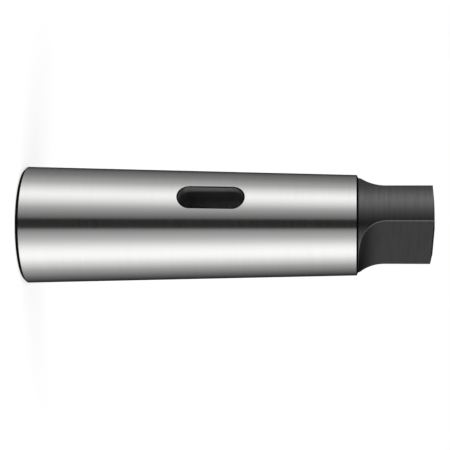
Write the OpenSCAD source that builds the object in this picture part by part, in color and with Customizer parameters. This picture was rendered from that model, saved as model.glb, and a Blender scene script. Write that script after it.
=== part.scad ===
// Taper sleeve: a ground size 5 taper outside, a size 2 taper socket inside,
// a drift slot through the body and a flatted tang. It is turned, milled and
// ground from one bar of steel, and it stands here on its large end.

/* [Outside taper] */
// Diameter of the outside taper at its gauge plane
gauge_d = 44.399; // [42:0.001:48]
// Distance from the large end's face to the gauge plane
gauge_z = 6.5; // [4:0.1:10]
// Length of outside taper in which the diameter falls by 1
taper_length = 19.002; // [18:0.001:21]
// Overall length of the sleeve, from the large end's face to the tang's end
total_l = 155.5; // [140:0.5:175]
// Chamfer on the rim of the large end
rim_chamfer = 1; // [0.2:0.1:2]

/* [Tang] */
// Length of the tang, from the small end of the taper to its end
tang_l = 28.7; // [24:0.1:34]
// Height of the shoulder, which is how far the tang is turned below the taper
shoulder_h = 1.2; // [0.9:0.1:3]
// Length of the slope in which the shoulder falls to the tang
shoulder_l = 0.6; // [0.2:0.1:2]
// Distance across the two milled flats
tang_t = 15.65; // [12:0.05:20]
// Radius of the cutter that leaves the run-out at the root of each flat
runout_r = 10; // [6:0.5:14]
// Distance from the foot of the shoulder to where the run-outs end
runout_gap = 0.1; // [0.1:0.1:1]
// Width of the chamfer on the tang's end, measured along the radius
end_chamfer_w = 6; // [1:0.5:8]
// Angle of that chamfer to the end face, in degrees
end_chamfer_angle = 6; // [3:1:45]

/* [Centre hole] */
// Diameter of the centre hole's pilot
pilot_d = 4; // [2:0.5:6]
// Largest diameter of its 60 degree seat
centre_d = 8.5; // [7:0.5:12]
// Depth of the straight pilot below the seat
pilot_l = 4; // [2:0.5:8]

/* [Socket] */
// Diameter of the socket's taper at the large end's face
socket_d = 17.78; // [16:0.01:20]
// Length of socket in which the diameter falls by 1
socket_length = 20.02; // [19:0.001:21]
// Chamfer at the mouth of the socket
mouth_chamfer = 0.6; // [0.2:0.1:2]
// Diameter of the bore that clears the end of the taper
bore_d = 14.9; // [14:0.1:16]
// Depth of that bore from the large end's face, without its drill point
bore_l = 67; // [62:0.5:75]

/* [Drift slot] */
// Distance from the large end's face to the near end of the slot
slot_z = 60.2; // [56:0.1:66]
// Length of the slot, over its round ends
slot_l = 25; // [18:0.5:34]
// Width of the slot
slot_w = 9.5; // [6:0.1:12]

/* [Hidden] */
$fn = 180;

// Angle of a drill's point, and of a lathe centre's
drill_angle = 118;
centre_angle = 60;
// The reamer stops this far short of the bore's end
ream_stop = 2;
// How far the tang's stub and every cutter run past the surface they cross
over = 2;
// Where the taper ends and the shoulder begins, and the shoulder's foot on the tang
shoulder_z = total_l - tang_l;
foot_z = shoulder_z + shoulder_l;
tang_r = taper_r(shoulder_z) - shoulder_h;
// Where a flat ends and its run-out begins
flat_z = foot_z + runout_gap + runout_r;
end_chamfer_h = end_chamfer_w * tan(end_chamfer_angle);

// Radius of the outside taper at height z
function taper_r(z) = (gauge_d - (z - gauge_z) / taper_length) / 2;

// Radius of the socket's taper at height z
function socket_r(z) = (socket_d - z / socket_length) / 2;

// Depth of a pointed tool that is d across at its widest
function point_l(d, angle) = d / 2 / tan(angle / 2);

// The ground body, from the large end's face to the foot of the shoulder's slope
module taper_body() {
    color("silver")
        rotate_extrude()
            polygon([
                [0, 0],
                [taper_r(0) - rim_chamfer, 0],
                [taper_r(rim_chamfer), rim_chamfer],
                [taper_r(shoulder_z), shoulder_z],
                [tang_r, foot_z],
                [0, foot_z]
            ]);
}

// The tang as it is turned, with a stub inside the body and a chamfered end
module tang_blank() {
    rotate_extrude()
        polygon([
            [0, shoulder_z - over],
            [tang_r, shoulder_z - over],
            [tang_r, total_l - end_chamfer_h],
            [tang_r - end_chamfer_w, total_l],
            [0, total_l]
        ]);
}

// What the side cutter takes off one side: the flat, and the arc that it leaves at the root
module flat_cutter() {
    reach = tang_r + over;
    rotate([90, 0, 0])
        linear_extrude(2 * reach, center = true)
            union() {
                translate([tang_t / 2, flat_z])
                    square([reach, tang_l]);
                translate([tang_t / 2 + runout_r, flat_z - runout_r])
                    square([reach, tang_l]);
                translate([tang_t / 2 + runout_r, flat_z])
                    circle(r = runout_r);
            }
}

// The tang with its two flats, left black from hardening
module tang() {
    color("dimgray")
        difference() {
            tang_blank();
            flat_cutter();
            mirror([1, 0, 0]) flat_cutter();
        }
}

// The centre hole that the sleeve is turned and ground on
module centre_hole() {
    seat_l = point_l(centre_d, centre_angle) - point_l(pilot_d, centre_angle);
    straight_l = seat_l + pilot_l;
    translate([0, 0, total_l]) mirror([0, 0, 1]) {
        rotate_extrude()
            polygon([
                [0, -over],
                [centre_d / 2, -over],
                [centre_d / 2, 0],
                [pilot_d / 2, seat_l],
                [pilot_d / 2, straight_l],
                [0, straight_l + point_l(pilot_d, drill_angle)]
            ]);
    }
}

// The socket: drilled, then reamed to its taper, then chamfered at the mouth
module socket() {
    ream_l = bore_l - ream_stop;
    mouth_r = socket_r(0) + mouth_chamfer;
    rotate_extrude()
        polygon([
            [0, -over],
            [bore_d / 2, -over],
            [bore_d / 2, bore_l],
            [0, bore_l + point_l(bore_d, drill_angle)]
        ]);
    translate([0, 0, -over])
        cylinder(h = ream_l + over, r1 = socket_r(-over), r2 = socket_r(ream_l));
    translate([0, 0, -over])
        cylinder(h = mouth_chamfer + over, r1 = mouth_r + over, r2 = socket_r(0));
}

// The slot that a drift is driven through to push the inner tool out
module drift_slot() {
    reach = 2 * taper_r(0) + over;
    rotate([90, 0, 0])
        linear_extrude(reach, center = true)
            union() {
                translate([-slot_w / 2, slot_z + slot_w / 2])
                    square([slot_w, slot_l - slot_w]);
                for (z = [slot_z + slot_w / 2, slot_z + slot_l - slot_w / 2])
                    translate([0, z]) circle(d = slot_w);
            }
}

// The whole sleeve, one solid
module sleeve() {
    difference() {
        union() {
            taper_body();
            tang();
        }
        socket();
        drift_slot();
        centre_hole();
    }
}

sleeve();
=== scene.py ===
import math

import bmesh
import bpy
from mathutils import Matrix, Vector


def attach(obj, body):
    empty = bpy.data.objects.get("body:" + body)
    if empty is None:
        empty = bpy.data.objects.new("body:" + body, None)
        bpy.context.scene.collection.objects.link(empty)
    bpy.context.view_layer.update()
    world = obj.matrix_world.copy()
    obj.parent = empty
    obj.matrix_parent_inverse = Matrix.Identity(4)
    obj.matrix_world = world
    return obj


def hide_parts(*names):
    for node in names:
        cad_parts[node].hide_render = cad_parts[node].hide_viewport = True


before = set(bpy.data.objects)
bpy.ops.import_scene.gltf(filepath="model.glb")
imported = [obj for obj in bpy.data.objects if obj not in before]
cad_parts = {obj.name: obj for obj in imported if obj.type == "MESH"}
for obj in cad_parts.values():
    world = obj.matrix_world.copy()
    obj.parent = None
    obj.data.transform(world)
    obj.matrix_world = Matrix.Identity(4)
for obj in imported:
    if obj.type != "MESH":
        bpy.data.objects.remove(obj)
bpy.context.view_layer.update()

# The sleeve is one bar of tool steel. It is turned to a taper with a tang at its small end,
# drilled and reamed from the large end, and hardened. A lathe leaves a clean shape of
# revolution, so this first mesh is one half outline, spun about the axis.
MM = 0.001
LARGE_END_R = 22.3705
SMALLER_PER_MM = 1 / 19.002 / 2
RIM_CHAMFER = 1.0
# The next two heights bound thin bands of the ground taper, by the rim and by the shoulder, painted near
# black as shade.
RIM_SHADE_TO = 1.3
SHOULDER_SHADE_FROM = 126.65
SHOULDER_Z = 126.8
SHOULDER_FOOT = 127.4
TANG_R = 17.834
TANG_END = 155.5
END_CHAMFER_W = 6.0
END_CHAMFER_H = 0.631
SOCKET_BORE_R = 7.45
SOCKET_MEETS_BORE = 57.66
BORE_DEPTH = 67.0
BORE_POINT = 71.476
MOUTH_R = 9.49
MOUTH_DEPTH = 0.615
MOUTH_INNER_R = 8.875
SEAT_R = 4.25
PILOT_R = 2.0
SEAT_DEPTH = 3.897
PILOT_DEPTH = 7.897
PILOT_POINT = 9.099
TURNED_STEPS = 144
HALF_STEP = math.pi / TURNED_STEPS


def taper_radius(z):
    """Radius of the ground taper at height z, in millimetres."""
    return LARGE_END_R - z * SMALLER_PER_MM


def new_object(name, shape):
    """Puts a finished bmesh into the scene as an object at the origin."""
    mesh = bpy.data.meshes.new(name)
    shape.to_mesh(mesh)
    shape.free()
    piece = bpy.data.objects.new(name, mesh)
    bpy.context.collection.objects.link(piece)
    return piece


half_outline = [
    (0, BORE_POINT),
    (SOCKET_BORE_R, BORE_DEPTH),
    (SOCKET_BORE_R, SOCKET_MEETS_BORE),
    (MOUTH_INNER_R, MOUTH_DEPTH),
    (MOUTH_R, 0),
    (LARGE_END_R - RIM_CHAMFER, 0),
    (taper_radius(RIM_CHAMFER), RIM_CHAMFER),
    (taper_radius(RIM_SHADE_TO), RIM_SHADE_TO),
    (taper_radius(55), 55),
    (taper_radius(90), 90),
    (taper_radius(SHOULDER_SHADE_FROM), SHOULDER_SHADE_FROM),
    (taper_radius(SHOULDER_Z), SHOULDER_Z),
    (TANG_R, SHOULDER_FOOT),
    (TANG_R, TANG_END - END_CHAMFER_H),
    (TANG_R - END_CHAMFER_W, TANG_END),
    (SEAT_R, TANG_END),
    (PILOT_R, TANG_END - SEAT_DEPTH),
    (PILOT_R, TANG_END - PILOT_DEPTH),
    (0, TANG_END - PILOT_POINT),
]
turned = bmesh.new()
points = [turned.verts.new((r * MM, 0, z * MM)) for r, z in half_outline]
lines = [turned.edges.new(pair) for pair in zip(points, points[1:])]
bmesh.ops.rotate(turned, verts=points, cent=(0, 0, 0), matrix=Matrix.Rotation(HALF_STEP, 3, "Z"))
bmesh.ops.spin(turned, geom=points + lines, cent=(0, 0, 0), axis=(0, 0, 1), angle=2 * math.pi,
               steps=TURNED_STEPS, use_merge=True)
bmesh.ops.remove_doubles(turned, verts=turned.verts, dist=0.001 * MM)
bmesh.ops.recalc_face_normals(turned, faces=turned.faces)
sleeve = new_object("taper_sleeve", turned)


def linear(hex_code):
    """An sRGB hex colour as the linear colour that a node's socket takes."""
    parts = [int(hex_code[i:i + 2], 16) / 255 for i in (1, 3, 5)]
    return [c / 12.92 if c <= 0.04045 else ((c + 0.055) / 1.055) ** 2.4 for c in parts] + [1.0]


def add_node(tree, kind, inputs=None, **settings):
    """Adds a node. An input is a plain value, or the output of another node to link from."""
    node = tree.nodes.new(kind)
    for name, value in settings.items():
        setattr(node, name, value)
    for socket, value in (inputs or {}).items():
        if isinstance(value, bpy.types.NodeSocket):
            tree.links.new(value, node.inputs[socket])
        else:
            node.inputs[socket].default_value = value
    return node


# Ground tool steel: the wheel leaves fine lines round the taper, so a reflection stays sharp
# round the sleeve and is drawn out long from end to end. That gives it its even bright bands.
ground_steel = bpy.data.materials.new("ground_tool_steel")
ground_steel.use_nodes = True
tree = ground_steel.node_tree
tree.nodes.clear()
place = add_node(tree, "ShaderNodeTexCoord")
grinding_lines = add_node(tree, "ShaderNodeMapping", {
    "Vector": place.outputs["Object"], "Scale": (0.02, 0.02, 1.0)})
grinding = add_node(tree, "ShaderNodeTexNoise", {
    "Vector": grinding_lines.outputs["Vector"], "Scale": 1400.0, "Detail": 4.0})
gloss = add_node(tree, "ShaderNodeMapRange", {
    "Value": grinding.outputs["Fac"], "From Min": 0.3, "From Max": 0.7, "To Min": 0.23, "To Max": 0.27})
line_height = add_node(tree, "ShaderNodeBump", {
    "Height": grinding.outputs["Fac"], "Strength": 0.15, "Distance": 0.00002})
round_axis = add_node(tree, "ShaderNodeTangent", direction_type="RADIAL", axis="Z")
steel = add_node(tree, "ShaderNodeBsdfPrincipled", {
    "Base Color": linear("#D0D0CF"), "Metallic": 1.0, "Roughness": gloss.outputs["Result"],
    "Anisotropic": 1.0, "Anisotropic Rotation": 0.25, "Tangent": round_axis.outputs["Tangent"],
    "Normal": line_height.outputs["Normal"]})
add_node(tree, "ShaderNodeOutputMaterial", {"Surface": steel.outputs["BSDF"]})
sleeve.data.materials.append(ground_steel)

# Black oxide: what isn't ground keeps the thin dark skin of the blackening bath. It follows the
# tool marks below it, so it has a low grey sheen and faint streaks across the axis.
black_oxide = bpy.data.materials.new("black_oxide_steel")
black_oxide.use_nodes = True
tree = black_oxide.node_tree
tree.nodes.clear()
place = add_node(tree, "ShaderNodeTexCoord")
tool_lines = add_node(tree, "ShaderNodeMapping", {
    "Vector": place.outputs["Object"], "Scale": (0.05, 0.05, 1.0)})
marks = add_node(tree, "ShaderNodeTexNoise", {
    "Vector": tool_lines.outputs["Vector"], "Scale": 1400.0, "Detail": 4.0})
skin = add_node(tree, "ShaderNodeMix", {
    "Factor": marks.outputs["Fac"], 6: linear("#4A4A4A"), 7: linear("#636363")}, data_type="RGBA")
mark_height = add_node(tree, "ShaderNodeBump", {
    "Height": marks.outputs["Fac"], "Strength": 0.2, "Distance": 0.00004})
oxide = add_node(tree, "ShaderNodeBsdfPrincipled", {
    "Base Color": skin.outputs[2], "Metallic": 0.95, "Roughness": 0.31,
    "Normal": mark_height.outputs["Normal"]})
add_node(tree, "ShaderNodeOutputMaterial", {"Surface": oxide.outputs["BSDF"]})
sleeve.data.materials.append(black_oxide)

# Black oxide and painted shade: in the small chamfers and at the shoulder nothing rubs the oxide skin, so it
# stays matt black there, and this near-black is darker still, as painted shade in those corners and round the
# slot's edge. They show as the thin black lines that frame the bright taper.
oxide_and_shade_lines = bpy.data.materials.new("black_oxide_and_painted_shade")
oxide_and_shade_lines.use_nodes = True
tree = oxide_and_shade_lines.node_tree
tree.nodes.clear()
place = add_node(tree, "ShaderNodeTexCoord")
crystals = add_node(tree, "ShaderNodeTexNoise", {
    "Vector": place.outputs["Object"], "Scale": 3000.0, "Detail": 3.0})
black_and_shade = add_node(tree, "ShaderNodeMix", {
    "Factor": crystals.outputs["Fac"], 6: linear("#050505"), 7: linear("#0B0B0B")}, data_type="RGBA")
matt = add_node(tree, "ShaderNodeBsdfPrincipled", {
    "Base Color": black_and_shade.outputs[2], "Roughness": 0.6, "Specular IOR Level": 0.05})
add_node(tree, "ShaderNodeOutputMaterial", {"Surface": matt.outputs["BSDF"]})
sleeve.data.materials.append(oxide_and_shade_lines)

# Milled wall: the slot's walls are left as the end mill cuts them, and blackened. Their grey is set by depth
# from the axis: the flat sides are painted a lighter grey near the mouth, as painted light where light falls
# in.
# Behind that they are black, and greyer far inside.
milled_wall = bpy.data.materials.new("blackened_milled_wall")
milled_wall.use_nodes = True
tree = milled_wall.node_tree
tree.nodes.clear()
place = add_node(tree, "ShaderNodeTexCoord")
mill_lines = add_node(tree, "ShaderNodeMapping", {
    "Vector": place.outputs["Object"], "Scale": (0.1, 1.0, 0.1)})
steps = add_node(tree, "ShaderNodeTexNoise", {
    "Vector": mill_lines.outputs["Vector"], "Scale": 2500.0, "Detail": 3.0})
across_axis = add_node(tree, "ShaderNodeVectorMath", {0: place.outputs["Object"], 1: (1, 1, 0)},
                       operation="MULTIPLY")
from_axis = add_node(tree, "ShaderNodeVectorMath", {0: across_axis.outputs["Vector"]}, operation="LENGTH")
uneven = add_node(tree, "ShaderNodeMath", {0: steps.outputs["Fac"], 1: 0.0006, 2: from_axis.outputs["Value"]},
                  operation="MULTIPLY_ADD")
depth = add_node(tree, "ShaderNodeMapRange", {"Value": uneven.outputs["Value"], "From Max": 0.02})
# Grey by depth from the axis; its lighter end at the mouth is painted light.
depth_tone_and_painted_light = add_node(tree, "ShaderNodeValToRGB", {"Fac": depth.outputs["Result"]})
for stop, level in ((0.38, "#B8B8B8"), (0.62, "#6D6D6D"), (0.82, "#565656")):
    depth_tone_and_painted_light.color_ramp.elements.new(stop).color = linear(level)
for end, level in ((0, "#B8B8B8"), (-1, "#747474")):
    depth_tone_and_painted_light.color_ramp.elements[end].color = linear(level)
sides = add_node(tree, "ShaderNodeSeparateXYZ", {"Vector": place.outputs["Object"]})
from_middle = add_node(tree, "ShaderNodeMath", {0: sides.outputs["X"]}, operation="ABSOLUTE")
flat_side = add_node(tree, "ShaderNodeMapRange", {
    "Value": from_middle.outputs["Value"], "From Min": 0.003, "From Max": 0.0043},
    interpolation_type="SMOOTHSTEP")
# Painted light: near the mouth the flat sides are painted a lighter grey, where light falls into the slot.
mouth = add_node(tree, "ShaderNodeMapRange", {
    "Value": uneven.outputs["Value"], "From Min": 0.0172, "From Max": 0.0188},
    interpolation_type="SMOOTHSTEP")
painted_light_zone = add_node(tree, "ShaderNodeMath", {
    0: flat_side.outputs["Result"], 1: mouth.outputs["Result"]}, operation="MULTIPLY")
wall_and_painted_light = add_node(tree, "ShaderNodeMix", {
    "Factor": painted_light_zone.outputs["Value"], 6: depth_tone_and_painted_light.outputs["Color"], 7: linear("#AAAAAA")},
    data_type="RGBA")
step_height = add_node(tree, "ShaderNodeBump", {
    "Height": steps.outputs["Fac"], "Strength": 0.4, "Distance": 0.00004})
wall = add_node(tree, "ShaderNodeBsdfPrincipled", {
    "Base Color": wall_and_painted_light.outputs[2], "Metallic": 0.25, "Roughness": 0.55,
    "Normal": step_height.outputs["Normal"]})
add_node(tree, "ShaderNodeOutputMaterial", {"Surface": wall.outputs["BSDF"]})
sleeve.data.materials.append(milled_wall)

# Faced ends: the lathe leaves fine rings on both end faces, and the bath blackens them. Nothing
# polishes them, so they stay a dull black in which the rings only just show.
faced_end = bpy.data.materials.new("blackened_faced_end")
faced_end.use_nodes = True
tree = faced_end.node_tree
tree.nodes.clear()
place = add_node(tree, "ShaderNodeTexCoord")
across_axis = add_node(tree, "ShaderNodeVectorMath", {0: place.outputs["Object"], 1: (1, 1, 0)},
                       operation="MULTIPLY")
from_axis = add_node(tree, "ShaderNodeVectorMath", {0: across_axis.outputs["Vector"]}, operation="LENGTH")
rings = add_node(tree, "ShaderNodeTexNoise", {
    "W": from_axis.outputs["Value"], "Scale": 2000.0, "Detail": 3.0}, noise_dimensions="1D")
ring_tone = add_node(tree, "ShaderNodeMix", {
    "Factor": rings.outputs["Fac"], 6: linear("#161616"), 7: linear("#2C2C2C")}, data_type="RGBA")
ring_height = add_node(tree, "ShaderNodeBump", {
    "Height": rings.outputs["Fac"], "Strength": 0.5, "Distance": 0.00005})
faced = add_node(tree, "ShaderNodeBsdfPrincipled", {
    "Base Color": ring_tone.outputs[2], "Roughness": 0.4, "Specular IOR Level": 0.4,
    "Normal": ring_height.outputs["Normal"]})
add_node(tree, "ShaderNodeOutputMaterial", {"Surface": faced.outputs["BSDF"]})
sleeve.data.materials.append(faced_end)

# The drift slot is milled right through, along Y. An end mill as wide as the slot leaves its
# round ends. Its edge is marked out on the taper first, in layout blue, as a toolmaker does: the
# marks are kept as edges of the mesh, and the edge is broken from mark to mark later.
STEEL, OXIDE, OXIDE_AND_SHADE, WALL, FACED, BLUE, CUTTER = range(7)
SLOT_LOW_CENTRE = 64.92
SLOT_HIGH_CENTRE = 80.62
SLOT_HALF_W = 4.86
SLOT_EDGE = 0.5
SLOT_EDGE_DEPTH = 0.2
SLOT_END_STEPS = 40
CUTTER_REACH = 30.0
MARK_LOW = 55.0
MARK_HIGH = 90.0
layout_blue = bpy.data.materials.new("layout_blue")
cutter_steel = bpy.data.materials.new("cutter_steel")
sleeve.data.materials.append(layout_blue)
sleeve.data.materials.append(cutter_steel)


def fill_and_push(path):
    """Closes a cutter's outline, drawn at its back end, and pushes it through along Y."""
    path.edges.ensure_lookup_table()
    bmesh.ops.contextual_create(path, geom=path.edges[:])
    pushed = bmesh.ops.extrude_face_region(path, geom=path.faces[:])
    front = [part for part in pushed["geom"] if isinstance(part, bmesh.types.BMVert)]
    bmesh.ops.translate(path, verts=front, vec=(0, 2 * CUTTER_REACH * MM, 0))
    bmesh.ops.recalc_face_normals(path, faces=path.faces)


def slot_mill(half_width):
    """The path of an end mill that cuts the slot to a half width."""
    path = bmesh.new()
    ends = []
    for side, centre in ((1, SLOT_LOW_CENTRE), (-1, SLOT_HIGH_CENTRE)):
        start = path.verts.new((side * half_width * MM, -CUTTER_REACH * MM, centre * MM))
        round_end = bmesh.ops.spin(path, geom=[start], cent=(0, 0, centre * MM), axis=(0, 1, 0),
                                   angle=math.pi, steps=SLOT_END_STEPS)
        ends.append((start, round_end["geom_last"][0]))
    path.edges.new((ends[0][1], ends[1][0]))
    path.edges.new((ends[1][1], ends[0][0]))
    fill_and_push(path)
    return new_object("slot_mill", path)


def turned_tool(low_r, low_z, high_r, high_z):
    """A round tool on the axis, from one radius and height to another."""
    tool = bmesh.new()
    bmesh.ops.create_cone(tool, cap_ends=True, segments=TURNED_STEPS, radius1=low_r * MM, radius2=high_r * MM,
                          depth=(high_z - low_z) * MM)
    bmesh.ops.rotate(tool, verts=tool.verts, cent=(0, 0, 0), matrix=Matrix.Rotation(HALF_STEP, 3, "Z"))
    bmesh.ops.translate(tool, verts=tool.verts, vec=(0, 0, (low_z + high_z) / 2 * MM))
    return new_object("turned_tool", tool)


def carved(piece, tool, operation):
    """The mesh of a piece that a tool has cut. The cut faces carry the tool's material."""
    cutting = piece.modifiers.new("cut", "BOOLEAN")
    cutting.operation = operation
    cutting.solver = "EXACT"
    cutting.material_mode = "TRANSFER"
    cutting.object = tool
    shown = piece.evaluated_get(bpy.context.evaluated_depsgraph_get())
    mesh = bpy.data.meshes.new_from_object(shown)
    piece.modifiers.clear()
    return mesh


def cut_away(piece, tool, material):
    """Takes a tool's shape out of a piece."""
    tool.data.materials.append(material)
    piece.data = carved(piece, tool, "DIFFERENCE")
    bpy.data.objects.remove(tool)


def mark_out(piece, tool, painted=False):
    """Draws a tool's outline on a piece as edges, and leaves its shape. The inside can be painted blue."""
    tool.data.materials.append(cutter_steel)
    marked = bmesh.new()
    marked.from_mesh(carved(piece, tool, "DIFFERENCE"))
    outside = len(marked.faces)
    marked.from_mesh(carved(piece, tool, "INTERSECT"))
    marked.faces.ensure_lookup_table()
    if painted:
        for face in marked.faces[outside:]:
            face.material_index = max(face.material_index, BLUE)
    inner = [face for face in marked.faces if face.material_index == CUTTER]
    bmesh.ops.delete(marked, geom=inner, context="FACES")
    bmesh.ops.remove_doubles(marked, verts=marked.verts, dist=0.002 * MM)
    marked.to_mesh(piece.data)
    marked.free()
    bpy.data.objects.remove(tool)


mark_out(sleeve, slot_mill(SLOT_HALF_W), painted=True)
cut_away(sleeve, slot_mill(SLOT_HALF_W - SLOT_EDGE), milled_wall)
mark_out(sleeve, turned_tool(taper_radius(MARK_LOW) - SLOT_EDGE_DEPTH, MARK_LOW,
                             taper_radius(MARK_HIGH) - SLOT_EDGE_DEPTH, MARK_HIGH))

# The tang's two flats are cut with a side mill. Its radius stays at the root of each flat as an
# arc that runs out into the neck just before the shoulder. They are marked out in the same way.
FLAT_X = 7.825
RUN_OUT_R = 10.0
RUN_OUT_STEPS = 48
RUN_OUT_Z = 127.5
STONED_NECK = 0.6
STONED_FLAT = 0.25
ROOT_MARK = 0.05
CLEAR_X = 25.0
CLEAR_Z = 160.0


def side_mills(flat_x, radius, root_z):
    """The paths of the mills that cut both flats, with the arc of their radius at the root."""
    path = bmesh.new()
    arc_x = flat_x + radius
    start = path.verts.new((arc_x * MM, -CUTTER_REACH * MM, root_z * MM))
    arc = bmesh.ops.spin(path, geom=[start], cent=(arc_x * MM, 0, (root_z + radius) * MM), axis=(0, 1, 0),
                         angle=math.pi / 2, steps=RUN_OUT_STEPS)
    corner = arc["geom_last"][0]
    for x, z in ((flat_x, CLEAR_Z), (CLEAR_X, CLEAR_Z), (CLEAR_X, root_z)):
        following = path.verts.new((x * MM, -CUTTER_REACH * MM, z * MM))
        path.edges.new((corner, following))
        corner = following
    path.edges.new((corner, start))
    fill_and_push(path)
    copied = bmesh.ops.duplicate(path, geom=path.verts[:] + path.edges[:] + path.faces[:])
    second = [part for part in copied["geom"] if isinstance(part, bmesh.types.BMVert)]
    bmesh.ops.rotate(path, verts=second, cent=(0, 0, 0), matrix=Matrix.Rotation(math.pi, 3, "Z"))
    return new_object("side_mills", path)


neck_mark = side_mills(FLAT_X - STONED_NECK, RUN_OUT_R + STONED_NECK, RUN_OUT_Z - ROOT_MARK)
mark_out(sleeve, neck_mark, painted=True)
cut_away(sleeve, side_mills(FLAT_X, RUN_OUT_R, RUN_OUT_Z), milled_wall)
mark_out(sleeve, turned_tool(TANG_R - STONED_FLAT, SHOULDER_FOOT + ROOT_MARK, TANG_R - STONED_FLAT, CLEAR_Z))

# The edges that the mills leave are broken with a stone, because the sleeve is held in the hand.
# Each is pushed in a little between its marks, and the shading follows the true round surfaces.
ON_SURFACE = 0.01
STONED = math.sqrt(STONED_NECK * STONED_FLAT)
STONE_LEAN = 1.5
SHARP = math.radians(5)
FLAT_Z = RUN_OUT_Z + RUN_OUT_R
END_CHAMFER_Z = TANG_END - END_CHAMFER_H


def turned_normal(point):
    """The way that the taper or the tang's round faces at a point, in millimetres."""
    slope = SMALLER_PER_MM if point.z < SHOULDER_Z + ON_SURFACE else 0
    return (point.xy.normalized().to_3d() + Vector((0, 0, slope))).normalized()


def milled_normal(point):
    """The way that a milled face faces at a point, towards the axis of its mill on a curve."""
    side = math.copysign(1, point.x)
    if point.z > FLAT_Z or SLOT_LOW_CENTRE < point.z < SLOT_HIGH_CENTRE:
        return Vector((side if point.z > FLAT_Z else -side, 0, 0))
    if point.z > SHOULDER_Z:
        return Vector((side * (FLAT_X + RUN_OUT_R) - point.x, 0, FLAT_Z - point.z)).normalized()
    centre = SLOT_LOW_CENTRE if point.z < SLOT_LOW_CENTRE + ON_SURFACE else SLOT_HIGH_CENTRE
    return Vector((-point.x, 0, centre - point.z)).normalized()


finished = bmesh.new()
finished.from_mesh(sleeve.data)
edge_corners = {}
for corner in finished.verts:
    finishes = {face.material_index for face in corner.link_faces}
    point = corner.co / MM
    surface_r = taper_radius(point.z) if point.z < SHOULDER_Z else TANG_R
    if WALL in finishes and finishes & {STEEL, BLUE} and abs(point.xy.length - surface_r) < ON_SURFACE:
        lean = STONE_LEAN if point.z > SHOULDER_Z else 1.0
        edge_corners[corner] = turned_normal(point) + milled_normal(point) * lean
facet_lines = [edge for edge in finished.edges if all(face.material_index == BLUE for face in edge.link_faces)
               and not any(corner in edge_corners for corner in edge.verts)]
bmesh.ops.dissolve_edges(finished, edges=facet_lines, use_verts=True)
for corner, both_ways in edge_corners.items():
    point = corner.co / MM
    width = SLOT_EDGE if point.z < SHOULDER_Z else min(STONED, point.z - SHOULDER_FOOT)
    depth = width * math.tan(turned_normal(point).angle(milled_normal(point)) / 4)
    corner.co -= both_ways.normalized() * depth * MM
shading = []
for face in finished.faces:
    middle = face.calc_center_median() / MM
    milled = face.material_index == WALL
    surface_r = taper_radius(middle.z) if middle.z < SHOULDER_Z else TANG_R
    outside = middle.xy.length > surface_r - 1
    turned_face = outside and (RIM_CHAMFER < middle.z < SHOULDER_Z
                               or SHOULDER_FOOT < middle.z < END_CHAMFER_Z)
    broken = any(corner in edge_corners for corner in face.verts)
    for corner in face.verts:
        if corner in edge_corners and (milled or turned_face):
            shading.append(edge_corners[corner].normalized())
        elif milled:
            shading.append(milled_normal(corner.co / MM))
        elif turned_face:
            shading.append(turned_normal(corner.co / MM))
        else:
            shading.append(Vector())
    inside = middle.xy.length < MOUTH_R and not milled
    if abs(face.normal.z) > 0.9 and (middle.z < ON_SURFACE or middle.z > END_CHAMFER_Z):
        face.material_index = FACED
    elif middle.z > SHOULDER_FOOT or inside:
        face.material_index = OXIDE
    # Painted shade: the rim chamfer, the shoulder, the slot's broken edge and thin taper bands beside them go
    # near black, partly the oxide's own black, partly painted shade.
    elif middle.z > SHOULDER_SHADE_FROM or middle.z < RIM_SHADE_TO or face.material_index == BLUE or broken:
        face.material_index = OXIDE_AND_SHADE
    face.smooth = True
for edge in finished.edges:
    edge.smooth = all(corner in edge_corners for corner in edge.verts) or edge.calc_face_angle() < SHARP
finished.to_mesh(sleeve.data)
finished.free()
sleeve.data.normals_split_custom_set(shading)
for unused in (cutter_steel, layout_blue):
    sleeve.data.materials.pop()
    bpy.data.materials.remove(unused)
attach(sleeve, "root")
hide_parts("sleeve")

# The floor is a plain white sheet. The camera sees it white, with a faint shadow where the
# sleeve stands, and the steel shows the studio's light in its place. It is seen from above only.
floor_shape = bmesh.new()
bmesh.ops.create_circle(floor_shape, cap_ends=True, segments=96, radius=2.0)
floor = new_object("floor", floor_shape)
floor.visible_glossy = False
white_sheet = bpy.data.materials.new("white_sheet")
white_sheet.use_nodes = True
tree = white_sheet.node_tree
tree.nodes.clear()
ray = add_node(tree, "ShaderNodeLightPath")
sheet = add_node(tree, "ShaderNodeBsdfDiffuse", {"Color": linear("#E8E8E8")})
glow_level = add_node(tree, "ShaderNodeMath", {0: ray.outputs["Is Camera Ray"], 1: 0.64},
                      operation="MULTIPLY")
glow = add_node(tree, "ShaderNodeEmission", {
    "Color": linear("#FFFFFF"), "Strength": glow_level.outputs["Value"]})
lit = add_node(tree, "ShaderNodeAddShader", {0: sheet.outputs["BSDF"], 1: glow.outputs["Emission"]})
below = add_node(tree, "ShaderNodeNewGeometry")
clear = add_node(tree, "ShaderNodeBsdfTransparent")
one_side = add_node(tree, "ShaderNodeMixShader", {
    "Fac": below.outputs["Backfacing"], 1: lit.outputs["Shader"], 2: clear.outputs["BSDF"]})
add_node(tree, "ShaderNodeOutputMaterial", {"Surface": one_side.outputs["Shader"]})
floor.data.materials.append(white_sheet)

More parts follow.
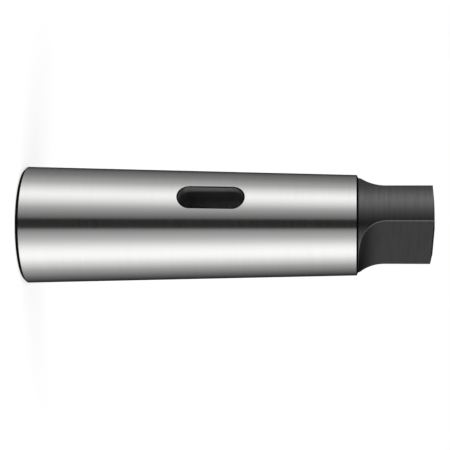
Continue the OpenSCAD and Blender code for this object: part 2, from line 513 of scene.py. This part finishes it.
# The studio is a light tent: a soft bright panel to each side of the camera, a dark card at the
# camera, and the tent's dark side behind the sleeve. Its roof and floor are of even grey cloth.
# The camera itself sees plain white.
CAMERA_AZIMUTH = -59.04
TENT = (
    (-180, 0.0), (-165, 0.012), (-146, 0.075), (-126, 0.247), (-104, 0.56), (-84, 1.15), (-74, 1.49),
    (-64, 1.63), (-55, 1.53), (-46, 1.32), (-37, 0.966), (-28, 0.689), (-15, 0.46), (-9.5, 0.3),
    (-6, 0.018), (0, 0.024), (11.5, 0.014), (14.5, 0.195), (19, 0.257), (26, 0.388), (34, 0.54),
    (40, 0.742), (46, 0.997), (55, 1.32), (64, 1.52), (72, 1.41), (80, 1.17), (96, 0.643), (120, 0.316),
    (145, 0.158), (165, 0.006), (180, 0.0),
)
tent = bpy.data.worlds.new("light_tent")
bpy.context.scene.world = tent
tent.use_nodes = True
tree = tent.node_tree
tree.nodes.clear()
direction = add_node(tree, "ShaderNodeTexCoord")
faced = add_node(tree, "ShaderNodeVectorRotate", {
    "Vector": direction.outputs["Generated"], "Angle": math.radians(-CAMERA_AZIMUTH)}, rotation_type="Z_AXIS")
parts = add_node(tree, "ShaderNodeSeparateXYZ", {"Vector": faced.outputs["Vector"]})
minus_y = add_node(tree, "ShaderNodeMath", {0: parts.outputs["Y"], 1: -1.0}, operation="MULTIPLY")
round_angle = add_node(tree, "ShaderNodeMath", {0: minus_y.outputs["Value"], 1: parts.outputs["X"]},
                       operation="ARCTAN2")
along = add_node(tree, "ShaderNodeMapRange", {
    "Value": round_angle.outputs["Value"], "From Min": -math.pi, "From Max": math.pi})
panels = add_node(tree, "ShaderNodeValToRGB", {"Fac": along.outputs["Result"]})
ramp = panels.color_ramp.elements
for angle, level in TENT[1:-1]:
    stop = ramp.new((angle + 180) / 360)
    stop.color = (level, level, level, 1)
for stop, (angle, level) in ((ramp[0], TENT[0]), (ramp[len(TENT) - 1], TENT[-1])):
    stop.color = (level, level, level, 1)
to_the_ends = add_node(tree, "ShaderNodeMath", {0: parts.outputs["Z"]}, operation="ABSOLUTE")
roof_or_floor = add_node(tree, "ShaderNodeMapRange", {
    "Value": to_the_ends.outputs["Value"], "From Min": 0.7, "From Max": 0.92},
    interpolation_type="SMOOTHSTEP")
cloth = add_node(tree, "ShaderNodeMix", {
    "Factor": roof_or_floor.outputs["Result"], 6: panels.outputs["Color"], 7: linear("#A0A0A0")},
    data_type="RGBA")
tent_light = add_node(tree, "ShaderNodeBackground", {"Color": cloth.outputs[2], "Strength": 1.0})
white = add_node(tree, "ShaderNodeBackground", {"Color": linear("#FFFFFF"), "Strength": 1.0})
ray = add_node(tree, "ShaderNodeLightPath")
seen = add_node(tree, "ShaderNodeMixShader", {
    "Fac": ray.outputs["Is Camera Ray"], 1: tent_light.outputs["Background"], 2: white.outputs["Background"]})
add_node(tree, "ShaderNodeOutputWorld", {"Surface": seen.outputs["Shader"]})

# The photograph is taken with a long lens from the large end's side. The sleeve lies across the
# picture, so the camera is turned until its right is the sleeve's +Z.
camera_data = bpy.data.cameras.new("camera")
camera_data.sensor_width = 36
camera_data.lens = 122.08
look = Vector((-0.51269, 0.85455, -0.08296))
up = Vector((-0.85744, -0.51457, -0.00151))
camera = bpy.data.objects.new("camera", camera_data)
camera.matrix_world = (Matrix.Translation((0.29859, -0.49772, 0.12503))
                       @ Matrix((look.cross(up), up, -look)).transposed().to_4x4())
bpy.context.collection.objects.link(camera)
bpy.context.scene.camera = camera
bpy.context.scene.view_settings.view_transform = "Standard"
